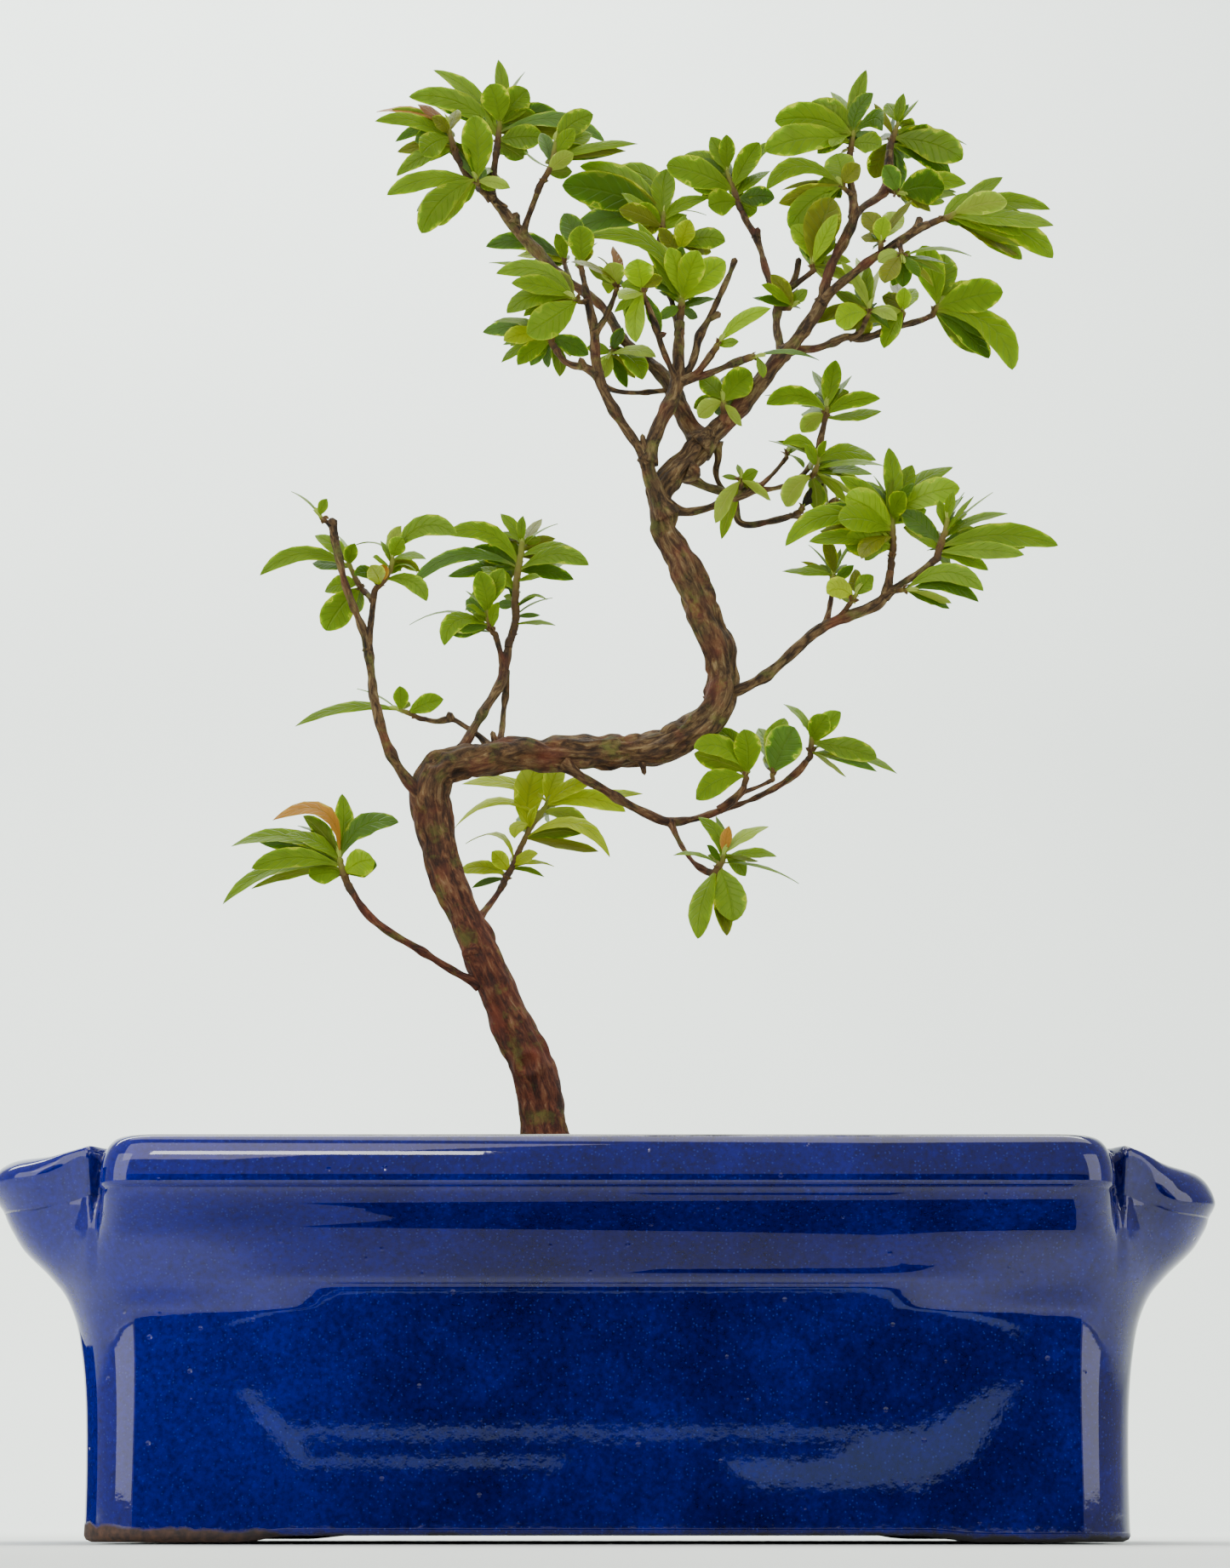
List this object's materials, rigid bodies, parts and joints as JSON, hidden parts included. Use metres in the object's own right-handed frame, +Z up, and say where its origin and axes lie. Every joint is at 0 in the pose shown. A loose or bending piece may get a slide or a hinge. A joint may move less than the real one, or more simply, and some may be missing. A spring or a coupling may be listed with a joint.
{
  "type": "potted bonsai",
  "caption": "Slender satsuki azalea bonsai with a bent trunk, bare twigs and small leafy shoots, rooted in grit in a rectangular pot with pinched corners.",
  "frame": {"origin": "centre of the pot's base, on the surface that it stands on", "axes": "+Z up, +X along the pot's long side to the right of the viewer, -Y towards the viewer"},
  "size_m": [0.2396, 0.1794, 0.363],
  "materials": {
    "blue_glaze": "gloss",
    "bark": "rough",
    "grit": "matte",
    "screen_plastic": "matte",
    "clip_wire": "satin",
    "dried_bud": "matte",
    "leaf_green": "satin"
  },
  "bodies": {
    "root": {"drain_screen_left": "screen_plastic", "drain_screen_right": "screen_plastic", "pot": "blue_glaze", "screen_clip_left": "clip_wire", "screen_clip_right": "clip_wire", "shoot_back_loop": "leaf_green", "shoot_back_low": "leaf_green", "shoot_back_spur": "leaf_green", "shoot_behind": "leaf_green", "shoot_centre": "leaf_green", "shoot_centre_spur": "leaf_green", "shoot_crown_back": "leaf_green", "shoot_crown_drop": "leaf_green", "shoot_crown_far": "leaf_green", "shoot_crown_left": "leaf_green", "shoot_crown_low": "leaf_green", "shoot_crown_mid": "leaf_green", "shoot_crown_right": "leaf_green", "shoot_crown_side": "leaf_green", "shoot_crown_spur": "leaf_green", "shoot_crown_stub": "leaf_green", "shoot_crown_top": "leaf_green", "shoot_fan": "leaf_green", "shoot_fan_knob": "leaf_green", "shoot_fan_stub": "leaf_green", "shoot_front_fork": "leaf_green", "shoot_front_left": "leaf_green", "shoot_front_low": "leaf_green", "shoot_front_right": "leaf_green", "shoot_front_top": "leaf_green", "shoot_inner_left_low": "leaf_green", "shoot_inner_left_top": "leaf_green", "shoot_left_hang": "leaf_green", "shoot_left_inner": "leaf_green", "shoot_left_tip": "leaf_green", "shoot_low_left": "leaf_green", "shoot_right_back": "leaf_green", "shoot_right_short": "leaf_green", "shoot_right_spur": "leaf_green", "shoot_right_tip": "leaf_green", "shoot_right_top": "leaf_green", "shoot_right_upper": "leaf_green", "shoot_right_upper_fork": "leaf_green", "shoot_right_upper_spur": "leaf_green", "shoot_short_left": "leaf_green", "shoot_top_centre": "leaf_green", "shoot_top_inner": "leaf_green", "shoot_top_left": "leaf_green", "shoot_top_left_low": "leaf_green", "shoot_under_inner": "leaf_green", "shoot_under_low": "leaf_green", "shoot_under_mid": "leaf_green", "shoot_under_tip": "leaf_green", "shoot_upper_right_low": "leaf_green", "shoot_upper_right_spur": "leaf_green", "shoot_upper_right_top": "leaf_green", "shoot_upper_right_twig": "leaf_green", "soil": "grit", "tree": "bark", "wilted_bud": "dried_bud"}
  },
  "joints": []
}
